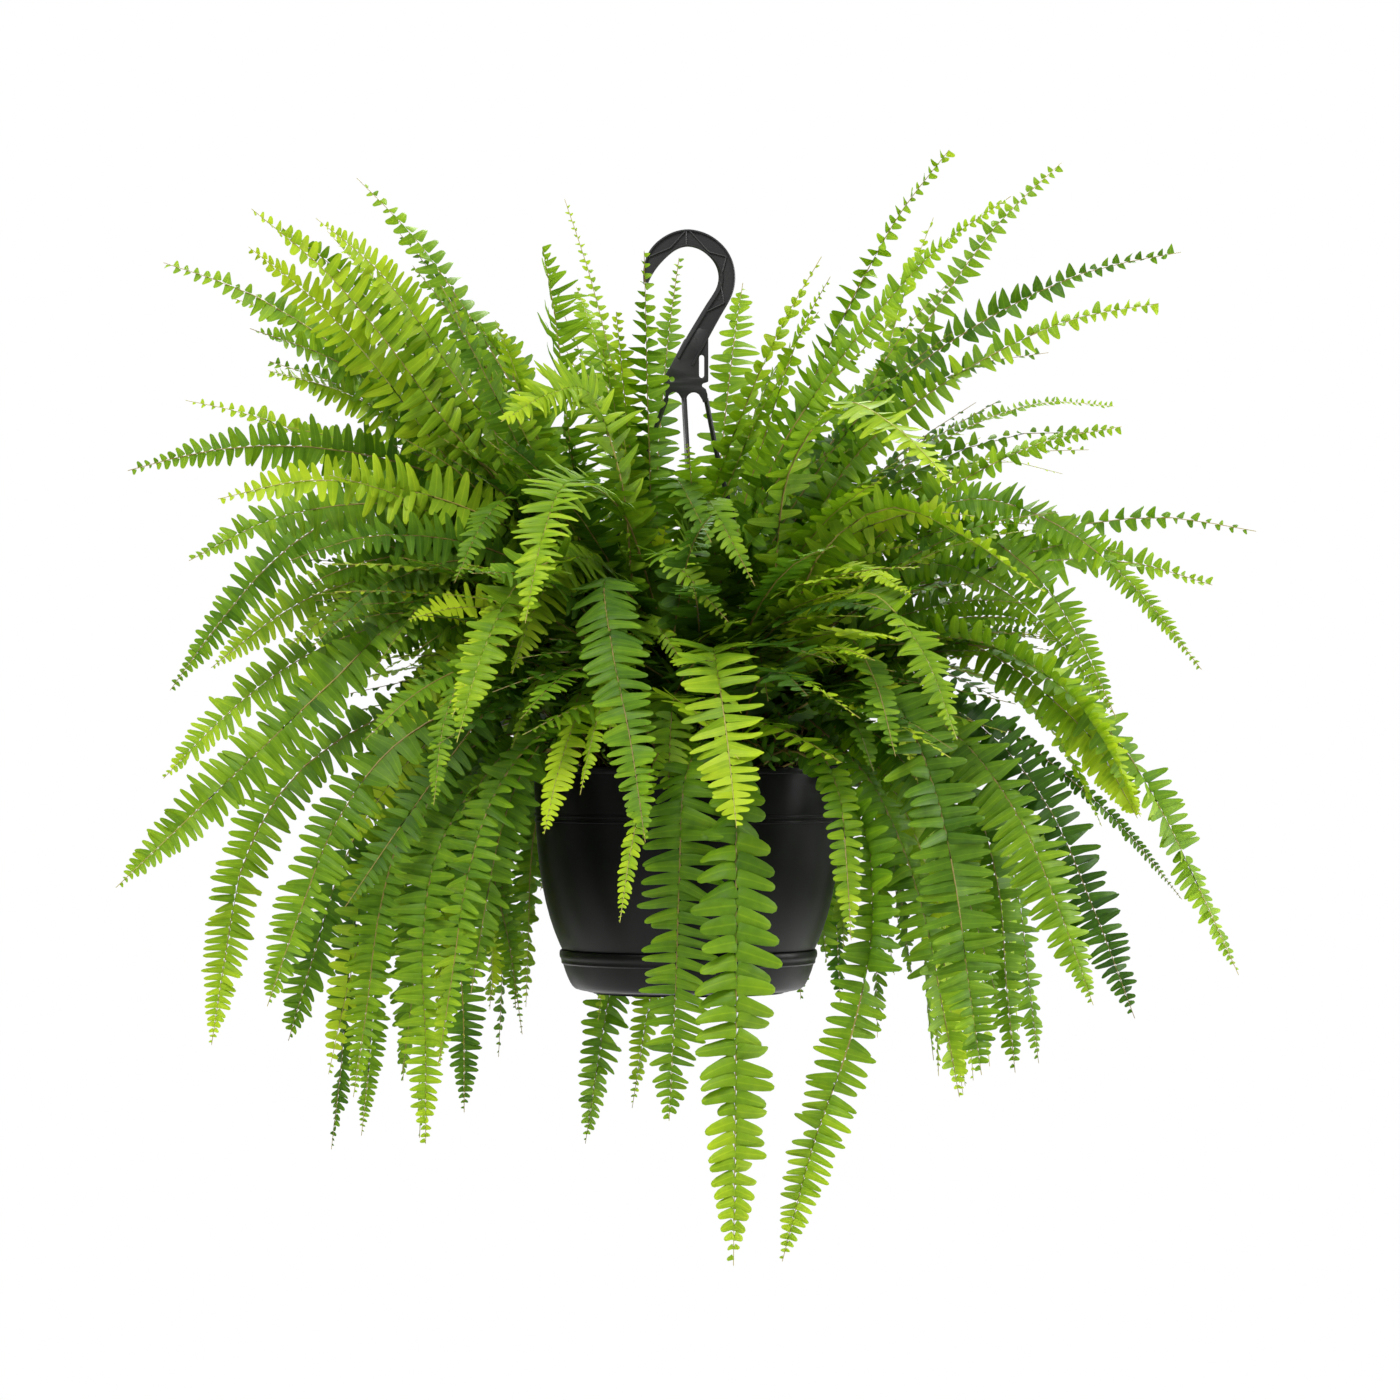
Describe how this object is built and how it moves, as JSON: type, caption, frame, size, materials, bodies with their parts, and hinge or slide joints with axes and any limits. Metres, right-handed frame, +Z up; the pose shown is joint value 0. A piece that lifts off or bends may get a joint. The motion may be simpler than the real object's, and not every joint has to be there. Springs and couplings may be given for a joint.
{
  "type": "sword fern in hanging pot",
  "caption": "Sword fern with long arching and hanging pinnate fronds, growing in a black plastic bowl pot with drip tray, hung by a hook with three arms.",
  "frame": {"origin": "where the hook bears on what it hangs from, at the inner top of the hook's arch, above the pot's axis", "axes": "+Z up along the pot's axis, +X to the right as seen from the front, +Y away from the viewer; the hook lies in the X-Z plane"},
  "size_m": [0.9644, 0.7265, 0.9344],
  "materials": {
    "frond": "soft satin leaf green, yellow-green on young fronds and dark green on old ones",
    "pot_plastic": "satin black moulded plastic",
    "hanger_plastic": "satin black moulded plastic",
    "soil": "dark fibrous peat, dry on top"
  },
  "bodies": {
    "root": {"drip_tray": "pot_plastic", "fronds_01": "frond", "fronds_02": "frond", "fronds_03": "frond", "fronds_04": "frond", "fronds_05": "frond", "fronds_06": "frond", "fronds_07": "frond", "fronds_08": "frond", "fronds_09": "frond", "fronds_10": "frond", "fronds_11": "frond", "fronds_12": "frond", "fronds_13": "frond", "fronds_14": "frond", "fronds_15": "frond", "fronds_16": "frond", "fronds_17": "frond", "fronds_18": "frond", "fronds_19": "frond", "fronds_20": "frond", "fronds_21": "frond", "fronds_22": "frond", "fronds_23": "frond", "fronds_24": "frond", "fronds_25": "frond", "fronds_26": "frond", "fronds_27": "frond", "fronds_28": "frond", "fronds_29": "frond", "fronds_30": "frond", "fronds_31": "frond", "fronds_32": "frond", "fronds_33": "frond", "fronds_34": "frond", "fronds_35": "frond", "fronds_36": "frond", "fronds_37": "frond", "fronds_38": "frond", "fronds_39": "frond", "fronds_40": "frond", "fronds_41": "frond", "fronds_42": "frond", "fronds_43": "frond", "fronds_44": "frond", "fronds_45": "frond", "fronds_46": "frond", "fronds_47": "frond", "fronds_48": "frond", "fronds_49": "frond", "fronds_50": "frond", "hanger": "hanger_plastic", "pot": "pot_plastic", "soil": "soil"}
  },
  "joints": []
}
